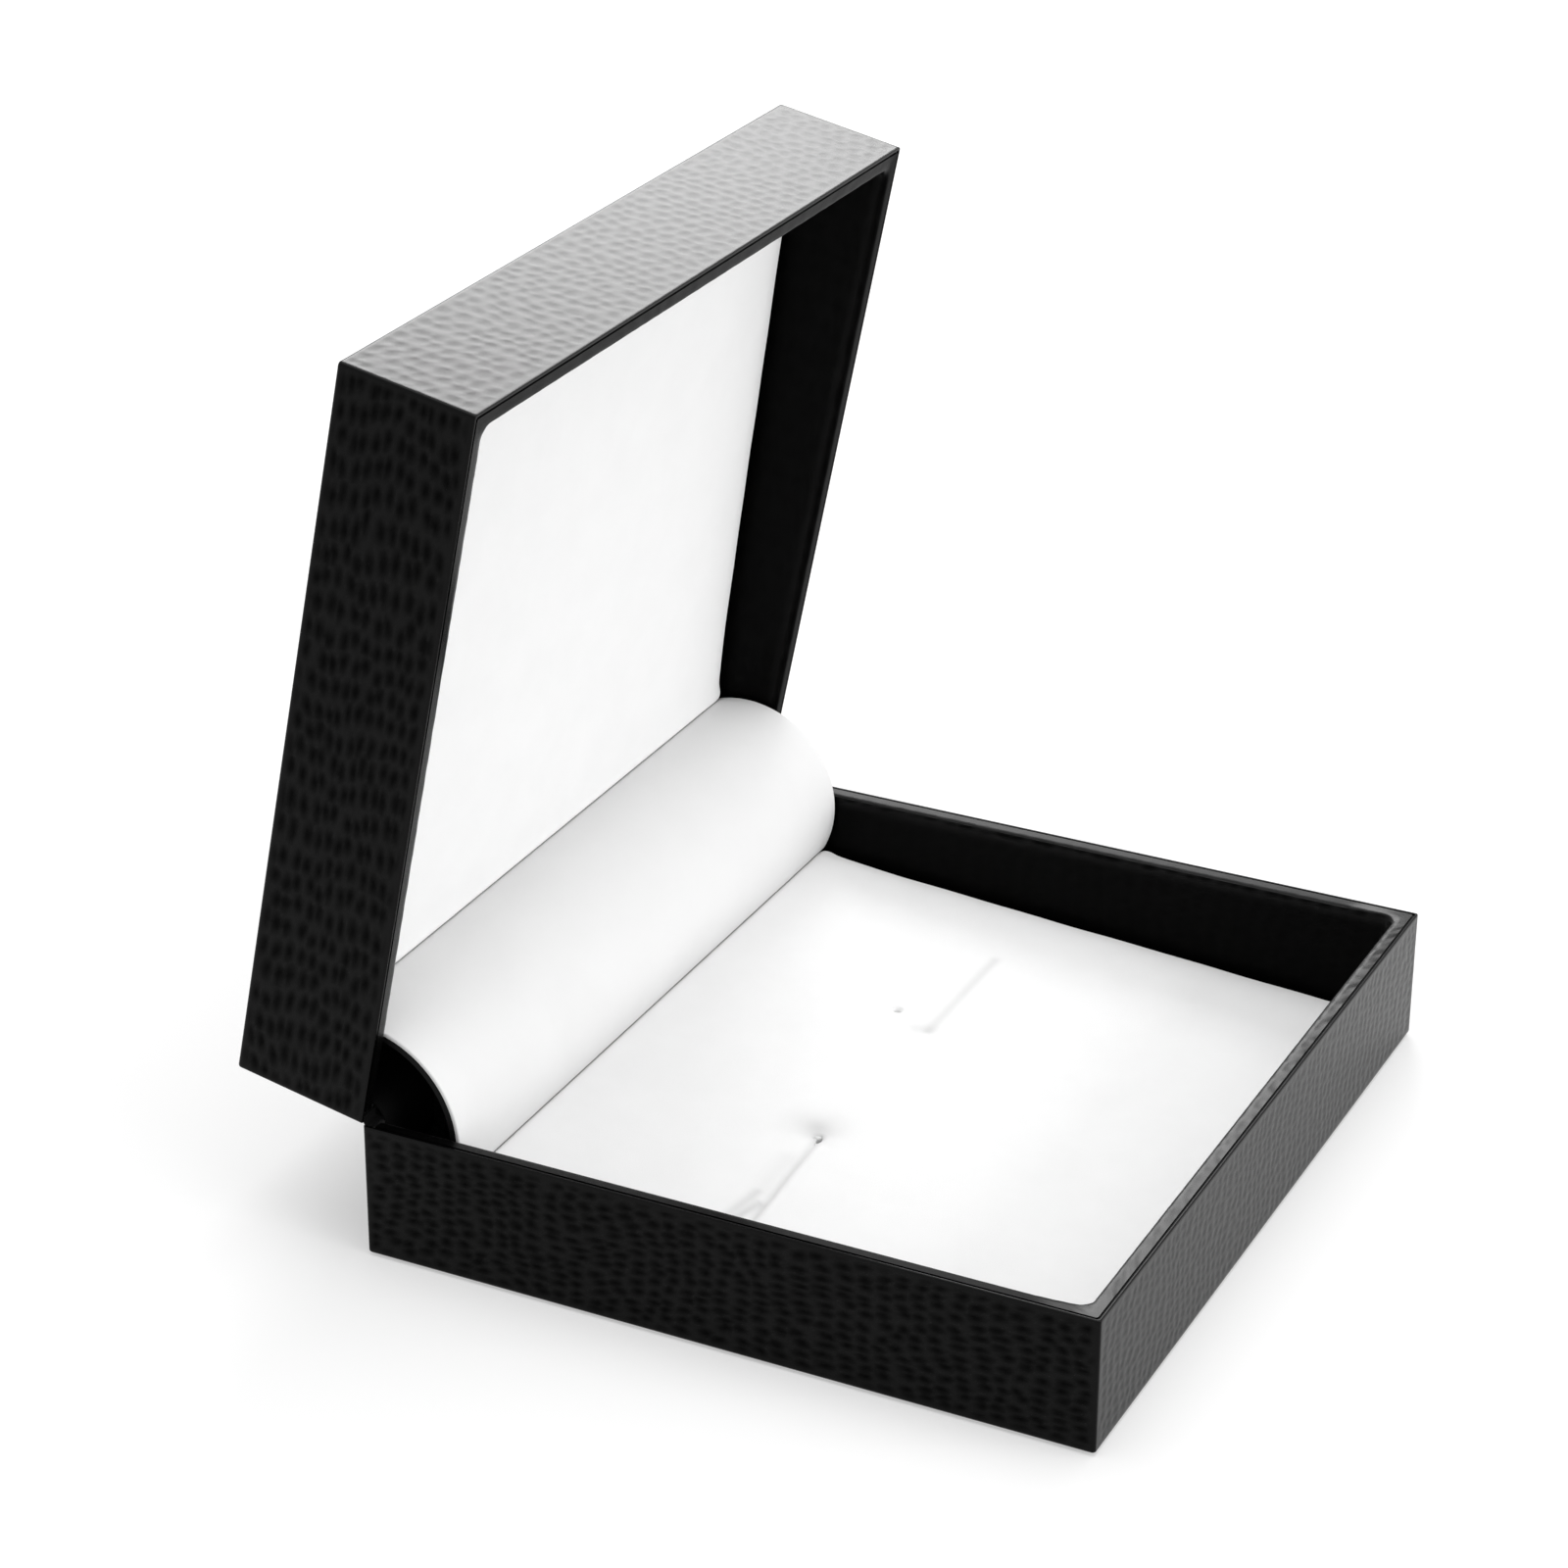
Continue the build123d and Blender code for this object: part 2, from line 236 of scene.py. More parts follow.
grain, start, end = group("fine_grain", [("Scale", 3000.0), ("Sharpness", 0.5)], ["Height", "Pores"])
place = add(grain, "ShaderNodeTexCoord").outputs["Object"]
rough = add(
    grain,
    "ShaderNodeTexNoise",
    {"Vector": place, "Scale": start.outputs["Scale"], "Detail": 3.0, "Roughness": 0.6},
)
cells = add(
    grain,
    "ShaderNodeTexVoronoi",
    {"Vector": place, "Scale": start.outputs["Scale"]},
    feature="DISTANCE_TO_EDGE",
)
pores = stretch(grain, cells.outputs["Distance"], 0.0, 0.16, 0.0, 1.0)
edges = reckon(grain, "MULTIPLY", pores, start.outputs["Sharpness"])
grain.links.new(reckon(grain, "ADD", rough.outputs["Fac"], edges), end.inputs["Height"])
grain.links.new(pores, end.inputs["Pores"])

mottle, start, end = group("slow_mottling", [("Scale", 120.0)], ["Tone"])
place = add(mottle, "ShaderNodeTexCoord").outputs["Object"]
cloud = add(
    mottle,
    "ShaderNodeTexNoise",
    {"Vector": place, "Scale": start.outputs["Scale"], "Detail": 4.0, "Roughness": 0.55},
)
mottle.links.new(stretch(mottle, cloud.outputs["Fac"], 0.3, 0.7, 0.0, 1.0), end.inputs["Tone"])
print("groups:", grain.name, mottle.name)

# %% [markdown]
# ## Finishes
# Every finish is one Principled shader with a fine grain for its bump and its roughness,
# and a slow mottling for its colour. Only the numbers change: how coarse, how rough, how
# shiny. A finish function keeps that pattern in one place.

# %% One finish function


def finish(name, dark, light, roughness, grain_scale, bump, mottle_scale, sharpness=0.5, **fixed):
    """A mottled, grained material; fixed values go straight to the shader's sockets."""
    material = bpy.data.materials.new(name)
    material.use_nodes = True
    tree = material.node_tree
    tree.nodes.clear()
    fine = add(
        tree, "ShaderNodeGroup", {"Scale": grain_scale, "Sharpness": sharpness}, node_tree=grain
    )
    slow = add(tree, "ShaderNodeGroup", {"Scale": mottle_scale}, node_tree=mottle)
    bumps = add(
        tree,
        "ShaderNodeBump",
        {"Height": fine.outputs["Height"], "Strength": 1.0, "Distance": bump * MM},
    )
    shader = add(
        tree,
        "ShaderNodeBsdfPrincipled",
        {
            "Base Color": blend_colour(tree, slow.outputs["Tone"], dark, light),
            "Roughness": stretch(tree, fine.outputs["Pores"], 0.0, 1.0, roughness[1], roughness[0]),
            "Normal": bumps.outputs["Normal"],
        },
    )
    for socket, value in fixed.items():
        shader.inputs[socket.replace("_", " ").title().replace("Ior", "IOR")].default_value = value
    add(tree, "ShaderNodeOutputMaterial", {"Surface": shader.outputs[0]})
    return material


def grey(level):
    """A neutral colour."""
    return (level, level, level)


# %% [markdown]
# ### Leatherette
# The box is covered in black vinyl on paper, rolled under a hot embossing drum that
# presses small oval pits in columns, each column moved on by half a pit. The pits are real
# dents in the mesh, made further on, and they are kept there as an attribute called pit.
# The finish reads it: a pit is darker and has lost the thin polish that the ridges keep,
# which is a coat whose weight falls in the pits. Seen at a flat angle the ridges hide the
# pits, so there the weight falls less. The rim strip has one more attribute, matt, because
# handling has taken the polish off parts of the rim.

# %% Leatherette finish


def leatherette(name, dark, light):
    """Black vinyl whose pits are darker and duller than its ridges."""
    material = finish(
        name, grey(dark), grey(light), (0.45, 0.55), 4200.0, 0.006, 90.0,
        specular_ior_level=0.02, coat_roughness=0.20, coat_ior=1.18,
    )
    tree = material.node_tree
    shader = tree.nodes["Principled BSDF"]
    pit = add(tree, "ShaderNodeAttribute", attribute_name="pit").outputs["Fac"]
    plain = shader.inputs["Base Color"].links[0].from_socket
    tree.links.new(blend_colour(tree, pit, plain, grey(0.0003)), shader.inputs["Base Color"])
    facing = add(tree, "ShaderNodeLayerWeight").outputs["Facing"]
    left_in_pit = stretch(tree, facing, 0.30, 0.60, 0.10, 0.80)
    tree.links.new(stretch(tree, pit, 0.0, 1.0, 1.0, left_in_pit), shader.inputs["Coat Weight"])
    return material


leather = leatherette("black_leatherette", 0.0006, 0.0011)
liner_leather = leatherette("black_liner_leatherette", 0.0010, 0.0016)
tree = liner_leather.node_tree
gloss = tree.nodes["Principled BSDF"].inputs["Coat Weight"]
matt = add(tree, "ShaderNodeAttribute", attribute_name="matt").outputs["Fac"]
tree.links.new(stretch(tree, matt, 0.0, 1.0, gloss.links[0].from_socket, 0.0), gloss)
print("finishes:", leather.name, liner_leather.name)

# %% [markdown]
# ### White velvet, and what lies inside
# The lining is short white velvet: almost no gloss, a soft sheen at grazing angles and a
# nap of fine fibres. The boards, papers, foam, plastic and steel are mostly hidden, and
# show only in the hinge gap, under the box and where a pad is lifted. They still get
# finishes of their own.

# %% The other finishes
velvet = finish(
    "white_velvet", grey(0.875), grey(0.895), (0.85, 0.95), 5200.0, 0.020, 140.0, 0.3,
    specular_ior_level=0.15, sheen_weight=0.25, sheen_roughness=0.5,
)
roll_velvet = finish(
    "white_roll_velvet", grey(0.80), grey(0.82), (0.62, 0.72), 5200.0, 0.014, 90.0, 0.3,
    specular_ior_level=0.30, sheen_weight=0.2, sheen_roughness=0.4,
)
# Both velvets turn grey by an attribute that holds painted shade: in the pad's slits, holes and creases,
# and along the foot of the hinge roll.
for fabric in (velvet, roll_velvet):
    tree = fabric.node_tree
    shader = tree.nodes["Principled BSDF"]
    painted_shade = add(tree, "ShaderNodeAttribute", attribute_name="painted_shade").outputs["Fac"]
    plain = shader.inputs["Base Color"].links[0].from_socket
    tree.links.new(blend_colour(tree, painted_shade, plain, grey(0.12)), shader.inputs["Base Color"])
board = finish("black_core_board", grey(0.006), grey(0.012), (0.82, 0.92), 2600.0, 0.030, 200.0)
black_paper = finish(
    "black_paper", grey(0.010), grey(0.016), (0.75, 0.85), 3500.0, 0.015, 160.0, specular_ior_level=0.25
)
card = finish("pale_card", (0.50, 0.45, 0.37), (0.58, 0.53, 0.45), (0.80, 0.90), 3000.0, 0.020, 180.0)
foam = finish("white_foam", grey(0.72), grey(0.80), (0.90, 0.98), 1600.0, 0.120, 120.0, 1.2)
plastic = finish(
    "black_plastic", grey(0.004), grey(0.006), (0.50, 0.60), 2400.0, 0.012, 80.0, specular_ior_level=0.08
)
steel = finish(
    "plated_steel", grey(0.50), grey(0.60), (0.28, 0.40), 3000.0, 0.004, 150.0, 0.2, metallic=1.0
)
dark_steel = finish(
    "blackened_steel", grey(0.010), grey(0.016), (0.50, 0.60), 3000.0, 0.004, 150.0, 0.2, metallic=1.0
)
spring_steel = finish(
    "spring_steel", (0.34, 0.35, 0.37), (0.42, 0.43, 0.46), (0.24, 0.34), 3000.0, 0.004, 150.0, 0.2,
    metallic=1.0,
)
print("finishes:", sorted(material.name for material in bpy.data.materials))

# %% Finishes on the solids that stay
NODE_FINISH = {
    "board": board, "bottom_sheet": black_paper, "floor_lining": black_paper, "foam": foam,
    "plate": plastic, "arm": plastic, "leaf": steel, "rivets": steel, "pin": dark_steel,
    "spring": spring_steel, "wrap": leather, "liner": liner_leather, "cover": velvet, "fabric": velvet,
}
for name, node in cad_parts.items():
    kind = next(key for key in NODE_FINISH if name.endswith(key))
    chosen = card if name in ("pad_board", "lid_panel_board") else NODE_FINISH[kind]
    if not node.material_slots:
        node.data.materials.append(None)
    for material_slot in node.material_slots:
        material_slot.material = chosen
print("solids with a finish:", len(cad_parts))

# %% [markdown]
# ## Hands for modelling
# Modelling by operator follows a rhythm: deselect everything, add a primitive at its size
# and place, go into edit mode, select by place, and act. These helpers are that rhythm.

# %% Selecting and adding


def fresh():
    """Leave edit mode and deselect everything, before a new piece is added."""
    if bpy.context.object and bpy.context.object.mode == "EDIT":
        bpy.ops.object.mode_set(mode="OBJECT")
    bpy.ops.object.select_all(action="DESELECT")


def take(piece):
    """Make one piece the only one that is selected, and the active one."""
    fresh()
    piece.select_set(True)
    bpy.context.view_layer.objects.active = piece


def settle(name):
    """Name the new piece and put its place and size into its mesh."""
    piece = bpy.context.object
    piece.name = piece.data.name = name
    bpy.ops.object.transform_apply(location=True, rotation=True, scale=True)
    return piece


def pick_edges(piece, test):
    """Select the edges whose two ends, in millimetres, pass a test."""
    bpy.ops.mesh.select_mode(type="EDGE")
    bpy.ops.mesh.select_all(action="DESELECT")
    shape = bmesh.from_edit_mesh(piece.data)
    for edge in shape.edges:
        if test(*(vert.co / MM for vert in edge.verts)):
            edge.select_set(True)
    bmesh.update_edit_mesh(piece.data)


def pick_open_edges():
    """Select the edges that have a face on one side only."""
    bpy.ops.mesh.select_mode(type="EDGE")
    bpy.ops.mesh.select_all(action="DESELECT")
    bpy.ops.mesh.select_non_manifold()


def face_outwards():
    """Turn all faces of the piece outwards."""
    bpy.ops.mesh.select_all(action="SELECT")
    bpy.ops.mesh.normals_make_consistent(inside=False)


def divide(piece, test, *parts):
    """Divide the chosen edges into as many parts as the numbers multiplied."""
    for number in parts:
        pick_edges(piece, test)
        bpy.ops.mesh.subdivide(number_cuts=number - 1)


SAME = 1e-3  # millimetres; places closer than this are the same place


def along_x(a, b):
    """True for an edge that runs straight along the hinge."""
    return abs(a.y - b.y) < SAME and abs(a.z - b.z) < SAME


def along_y(a, b):
    """True for an edge that runs straight from front to back."""
    return abs(a.x - b.x) < SAME and abs(a.z - b.z) < SAME


def level(a, b, z):
    """True for an edge that lies at one height."""
    return abs(a.z - z) < SAME and abs(b.z - z) < SAME


def upright(a, b):
    """True for an edge that runs down a whole wall."""
    return abs(a.z - b.z) > 10


def push_out(z):
    """Extrude the selected edges straight up or down by some millimetres."""
    bpy.ops.mesh.extrude_edges_move(TRANSFORM_OT_translate={"value": (0, 0, z * MM)})


def spread_to(old, new, z):
    """Extrude the selected outline in its plane, from one half size to another."""
    push_out(0.0)
    bpy.ops.transform.resize(
        value=(new[0] / old[0], new[1] / old[1], 1), center_override=(0, 0, z * MM)
    )


def apply(piece, kind, **options):
    """Add a modifier, set it, and apply it at once."""
    bpy.context.view_layer.objects.active = piece
    modifier = piece.modifiers.new(kind.lower(), kind)
    for name, value in options.items():
        setattr(modifier, name, value)
    bpy.ops.object.modifier_apply(modifier=modifier.name)


def dress(piece, covering, sharp_from):
    """Give a piece its finish, and smooth shading except at edges sharper than some degrees."""
    piece.data.materials.clear()
    piece.data.materials.append(covering)
    take(piece)
    bpy.ops.object.shade_smooth_by_angle(angle=math.radians(sharp_from))


def straight_edge(name, from_x, to_x, y, z, cuts):
    """One edge along the hinge, divided by a number of cuts; the piece stays in edit mode."""
    fresh()
    middle = Vector(((from_x + to_x) / 2, y, z))
    bpy.ops.mesh.primitive_plane_add(size=2.0, location=middle * MM)
    bpy.context.object.scale = ((to_x - from_x) / 2 * MM, MM, 1)
    piece = settle(name)
    bpy.ops.object.mode_set(mode="EDIT")
    pick_edges(piece, lambda a, b: a.y > y and b.y > y)
    bpy.ops.mesh.select_all(action="INVERT")
    bpy.ops.mesh.delete(type="EDGE_FACE")
    bpy.ops.mesh.select_all(action="SELECT")
    bpy.ops.mesh.delete_loose(use_verts=True, use_edges=False, use_faces=False)
    bpy.ops.mesh.select_all(action="SELECT")
    bpy.ops.transform.translate(value=(0, -MM, 0))
    bpy.ops.mesh.subdivide(number_cuts=cuts)
    return piece


# %% [markdown]
# ## The grain press
# Embossing is made as at the mill: a flat pattern is pressed into the finished surface.
# Each vertex is told where it lies on the sheet and how hard the drum pressed there, which
# is nothing at an edge or a fold. A geometry node modifier then reads a Voronoi pattern at
# that place and sinks the vertex along its normal. A bump in the material would be cheaper,
# but real dents stay in the mesh for whoever uses the part.

# %% Pattern that sinks the surface
PIT_DEPTH = 0.060  # millimetres
LEAN = 0.5  # each column of pits is moved on by half a pit
SWIRLS = ((0.10, 2.4), (0.45, 0.55))  # how often the columns wander, and how far, in pits

press = bpy.data.node_groups.new("grain_press", "GeometryNodeTree")
press.interface.new_socket("Geometry", in_out="INPUT", socket_type="NodeSocketGeometry")
press.interface.new_socket("Geometry", in_out="OUTPUT", socket_type="NodeSocketGeometry")
start, end = press.nodes.new("NodeGroupInput"), press.nodes.new("NodeGroupOutput")


def told(name, kind):
    """What each vertex was told under a name."""
    node = add(press, "GeometryNodeInputNamedAttribute", {"Name": name}, data_type=kind)
    return node.outputs["Attribute"]


sheet_place = told("sheet", "FLOAT_VECTOR")
swirled = sheet_place
for scale, reach in SWIRLS:
    drift = add(press, "ShaderNodeTexNoise", {"Vector": sheet_place, "Scale": scale, "Detail": 1.0})
    centred = reckon_vectors(press, "SUBTRACT", drift.outputs["Color"], (0.5, 0.5, 0.5))[0]
    swirled = reckon_vectors(press, "ADD", swirled, scale_vector(press, centred, reach))[0]
cells = add(
    press,
    "ShaderNodeTexVoronoi",
    {"Vector": swirled, "Scale": 1.0, "Randomness": 0.38},
    voronoi_dimensions="2D",
)
away = reckon_vectors(press, "SUBTRACT", swirled, cells.outputs["Position"])[0]
wide = reckon_vectors(press, "DOT_PRODUCT", away, (1.0, 0.0, 0.0))["Value"]
high = reckon_vectors(press, "DOT_PRODUCT", away, (-LEAN, 1.0, 0.0))["Value"]
away = add(press, "ShaderNodeCombineXYZ", {"X": wide, "Y": high})
away = add(press, "ShaderNodeVectorMath", {0: away.outputs[0]}, operation="LENGTH")
depth = add(
    press,
    "ShaderNodeMapRange",
    {"Value": away.outputs["Value"], "From Min": 0.02, "From Max": 0.70, "To Min": 1.0, "To Max": 0.0},
    interpolation_type="SMOOTHSTEP",
).outputs["Result"]
ripple = add(press, "ShaderNodeTexNoise", {"Vector": sheet_place, "Scale": 2.6, "Detail": 2.0})
depth = reckon(press, "ADD", depth, stretch(press, ripple.outputs["Fac"], 0.3, 0.7, -0.15, 0.15))
depth = reckon(press, "MULTIPLY", depth, told("pressure", "FLOAT"))
normal = add(press, "GeometryNodeInputNormal").outputs[0]
sink = scale_vector(press, normal, reckon(press, "MULTIPLY", depth, -PIT_DEPTH * MM))
moved = add(press, "GeometryNodeSetPosition", {"Geometry": start.outputs[0], "Offset": sink})
kept = add(
    press,
    "GeometryNodeStoreNamedAttribute",
    {"Geometry": moved.outputs[0], "Name": "pit", "Value": depth},
    data_type="FLOAT",
    domain="POINT",
)
press.links.new(kept.outputs[0], end.inputs[0])
print("press nodes:", len(press.nodes))

# %% Lay a piece in the press


def points_of(piece):
    """A piece's vertices in millimetres, one row each."""
    flat = np.empty(len(piece.data.vertices) * 3)
    piece.data.vertices.foreach_get("co", flat)
    return flat.reshape(-1, 3) / MM


def move_points(piece, x, y, z):
    """Give every vertex a new place, in millimetres."""
    piece.data.vertices.foreach_set("co", (np.stack([x, y, z], axis=1) * MM).ravel())
    piece.data.update()


def mark(piece, name, values):
    """Keep one number for every vertex, under a name that finishes can read."""
    piece.data.attributes.new(name, "FLOAT", "POINT").data.foreach_set("value", values)


def rise(distance, start, over):
    """From nothing to one: it begins at a distance and is complete after some more."""
    return np.clip((distance - start) / over, 0.0, 1.0)


def emboss(piece, along, across, pressure, pitch):
    """Press the grain into a piece, given each vertex's place on the sheet and the pits' pitch."""
    mesh = piece.data
    place = np.zeros((len(along), 3))
    place[:, 0] = along / pitch[0]
    place[:, 1] = across / pitch[1] + LEAN * place[:, 0]
    mesh.attributes.new("sheet", "FLOAT_VECTOR", "POINT").data.foreach_set("vector", place.ravel())
    mark(piece, "pressure", pressure)
    apply(piece, "NODES", node_group=press)
    for name in ("sheet", "pressure"):
        piece.data.attributes.remove(piece.data.attributes[name])
    print(piece.name, "embossed, vertices:", len(piece.data.vertices))


# %% [markdown]
# ## Outer leatherette
# On the real box one strip of leatherette is glued round the four walls, folded over the
# edges and turned under. A cube with beveled edges could stand for it, but the strip is
# hollow, and its cut edge shows along the rim. So an outline is drawn once and pulled
# round the whole section: down the wall, in under the box, up by the thickness and back up
# inside. Only the outer wall is divided finely enough to take the grain.

# %% Sizes of the box
HALF = (57.5, 50.0)
SKIN = 0.3
RIM = {"base": 18.85, "lid": 19.15}
OUTER = {"base": 0.3, "lid": 37.7}
LIP = {"base": 8.0, "lid": 0.5}
# Pitch of the pits on side walls and on end walls, each along and across the strip.
PITCH = {"base": ((2.6, 1.4), (1.9, 1.3)), "lid": ((3.6, 1.6), (2.4, 2.1))}
SOFT_END = {"base": 0.75, "lid": 0.6}  # the drum pressed the end walls less
# Where each stretch of the strip lies on the drum, so that no two walls are alike.
SIDE_START, END_START, TOP_START, LINER_START, LINER_DEEP = 170.0, 410.0, 700.0, 230.0, 55.0
FADE = 0.9  # the grain fades out over this distance towards a fold
CORNER, FOLD, CUT_EDGE = 0.4, 0.35, 0.10  # radii of the wrap's edges
NOTCH = {"base": (17.65, 20.0), "lid": (18.0, 20.35)}  # heights of the hinge barrel's room
NOTCH_HALF, NOTCH_MIDDLE = (42.5, 1.95), 49.25
HINGE_Y, HINGE_Z = 50.0, 19.0
HINGE = Vector((0.0, HINGE_Y, HINGE_Z)) * MM
OPEN_ANGLE = math.radians(78.7)


def swing_open(piece):
    """Turn a piece that was modelled shut to where the open lid holds it."""
    take(piece)
    bpy.ops.object.mode_set(mode="EDIT")
    bpy.ops.mesh.select_all(action="SELECT")
    bpy.ops.transform.rotate(value=OPEN_ANGLE, orient_axis="X", center_override=HINGE)
    bpy.ops.object.mode_set(mode="OBJECT")


# %% Walls of the wrap


def on_outside(place):
    """True for a place on the outer face of a wall."""
    return max(abs(place.x) - HALF[0], abs(place.y) - HALF[1]) > -0.2


def wrap_walls(name, rim, outer, lip):
    """Pull a strip round the box, from the rim down the wall and back up inside."""
    fresh()
    bpy.ops.mesh.primitive_plane_add(size=2.0, location=(0, 0, rim * MM))
    bpy.context.object.scale = (HALF[0] * MM, HALF[1] * MM, 1)
    piece = settle(name)
    bpy.ops.object.mode_set(mode="EDIT")
    bpy.ops.mesh.select_all(action="SELECT")
    bpy.ops.mesh.bevel(offset=CORNER * MM, segments=4, affect="VERTICES")
    bpy.ops.mesh.delete(type="ONLY_FACE")
    divide(piece, along_x, 20, 19)
    divide(piece, along_y, 12, 27)
    bpy.ops.mesh.select_all(action="SELECT")

    inside = (HALF[0] - SKIN, HALF[1] - SKIN)
    tucked = (HALF[0] - lip, HALF[1] - lip)
    towards_rim = math.copysign(1.0, rim - outer)
    push_out(outer - rim)
    spread_to(HALF, tucked, outer)
    push_out(SKIN * towards_rim)
    spread_to(tucked, inside, outer + SKIN * towards_rim)
    push_out(rim - outer - SKIN * towards_rim)
    pick_open_edges()
    bpy.ops.mesh.bridge_edge_loops()
    for z, radius, segments in ((outer, FOLD, 3), (rim, CUT_EDGE, 2)):
        pick_edges(piece, lambda a, b: level(a, b, z) and on_outside(a) and on_outside(b))
        bpy.ops.mesh.bevel(offset=radius * MM, segments=segments, affect="EDGES")
    divide(piece, lambda a, b: upright(a, b) and on_outside(a), 52)
    face_outwards()
    bpy.ops.object.mode_set(mode="OBJECT")
    return piece


def emboss_walls(piece, rim, outer, pitch, soft_end):
    """Grain that runs along the strip, and fades out at the folds."""
    x, y, z = points_of(piece).T
    side = HALF[0] - np.abs(x) < SAME
    end = HALF[1] - np.abs(y) < SAME
    from_corner = np.maximum(HALF[0] - np.abs(x), HALF[1] - np.abs(y))
    from_fold = np.minimum(np.abs(z - rim), np.abs(z - outer))
    pressure = rise(np.minimum(from_corner, from_fold), 0.3, FADE)
    pressure[~(side | end)] = 0.0
    pressure[end] *= soft_end
    along = np.where(side, y + SIDE_START * np.sign(x), x + END_START * np.sign(y))
    spacing = [np.where(side, on_side, on_end) for on_side, on_end in zip(*pitch)]
    emboss(piece, along, z, pressure, spacing)


def cut_notch(piece, low, high):
    """Cut the hinge barrel's room out of the back wall."""
    fresh()
    middle = Vector((0, NOTCH_MIDDLE, (low + high) / 2))
    bpy.ops.mesh.primitive_cube_add(size=2.0, location=middle * MM)
    bpy.context.object.scale = Vector((*NOTCH_HALF, (high - low) / 2)) * MM
    cutter = settle("notch_cutter")
    apply(piece, "BOOLEAN", operation="DIFFERENCE", object=cutter, solver="EXACT")
    bpy.data.meshes.remove(cutter.data)


wraps = {}
for half in ("base", "lid"):
    walls = wrap_walls(f"{half}_leather_walls", RIM[half], OUTER[half], LIP[half])
    emboss_walls(walls, RIM[half], OUTER[half], PITCH[half], SOFT_END[half])
    cut_notch(walls, *NOTCH[half])
    wraps[half] = walls
    print(walls.name, "faces:", len(walls.data.polygons))

# %% [markdown]
# ## Top of the lid
# The same sheet runs on over the lid's flat top. It is a piece of its own here, because a
# fine grid over the whole lid would be too heavy for one mesh. It starts where the fold of
# the walls ends, so the join lies in the fold.

# %% Lid top
TOP_HALF = (57.0, 49.5)
fresh()
bpy.ops.mesh.primitive_grid_add(
    x_subdivisions=272, y_subdivisions=330, size=2.0, location=(0, 0, OUTER["lid"] * MM)
)
bpy.context.object.scale = (TOP_HALF[0] * MM, TOP_HALF[1] * MM, 1)
lid_top = settle("lid_leather_top")
x, y, z = points_of(lid_top).T
from_fold = np.minimum(HALF[0] - np.abs(x), HALF[1] - np.abs(y))
emboss(lid_top, x, y + TOP_START, rise(from_fold, 0.5, FADE), PITCH["lid"][0])
bpy.ops.object.mode_set(mode="EDIT")
pick_open_edges()
push_out(-SKIN)
bpy.ops.mesh.edge_face_add()
face_outwards()
bpy.ops.object.mode_set(mode="OBJECT")
print(lid_top.name, "faces:", len(lid_top.data.polygons))

# %% [markdown]
# ## Rim liner
# A second strip of leatherette covers the rim and runs down the inside of three walls. On
# the rim it stops short of the outer strip, which leaves the thin dark seam along the top
# edge. Its outer edge has square corners and its inner one round, so two outlines with the
# same number of points are bridged, and the inner one is pulled down the wall. The side
# rims of the base lean in a little, as folded vinyl does, and the rims that look dull in
# the photograph are marked matt.

# %% Liner strips
LINER_OUT = (56.85, 49.35)
LINER_IN = (54.9, 47.4)
LINER_BACK = 48.5
LINER_FLOOR = {"base": 1.8, "lid": 36.2}
OUT_CORNER, IN_CORNER = 0.3, 2.0  # radii of the two outlines
LINER_FOLD = 0.55  # radius where the strip turns down the wall
RIM_LEAN = 0.15  # drop of the base's side rims for each millimetre inwards
WALL_FROM, WALL_OVER = 0.6, 1.5  # how far below the rim the inner wall begins


def open_outline(name, half_x, front, back, corner, z):
    """Three sides of a rectangle, round at the two front corners and open at the back."""
    fresh()
    bpy.ops.mesh.primitive_plane_add(size=2.0, location=Vector((0, (back - front) / 2, z)) * MM)
    bpy.context.object.scale = (half_x * MM, (back + front) / 2 * MM, 1)
    piece = settle(name)
    bpy.ops.object.mode_set(mode="EDIT")
    bpy.ops.mesh.select_mode(type="VERT")
    shape = bmesh.from_edit_mesh(piece.data)
    for vert in shape.verts:
        vert.select_set(vert.co.y < 0)
    bmesh.update_edit_mesh(piece.data)
    bpy.ops.mesh.bevel(offset=corner * MM, segments=6, affect="VERTICES")
    bpy.ops.mesh.delete(type="ONLY_FACE")
    pick_edges(piece, lambda a, b: a.y > back - 0.01 and b.y > back - 0.01)
    bpy.ops.mesh.delete(type="EDGE")
    divide(piece, along_x, 12, 20)
    divide(piece, along_y, 11, 20)
    bpy.ops.object.mode_set(mode="OBJECT")
    return piece


def on_inner(place):
    """True for a place on the inner outline, seen from above."""
    over_x = max(abs(place.x) - LINER_IN[0] + IN_CORNER, 0)
    over_y = max(-place.y - LINER_IN[1] + IN_CORNER, 0)
    return abs(math.hypot(over_x, over_y) - IN_CORNER) < 0.05


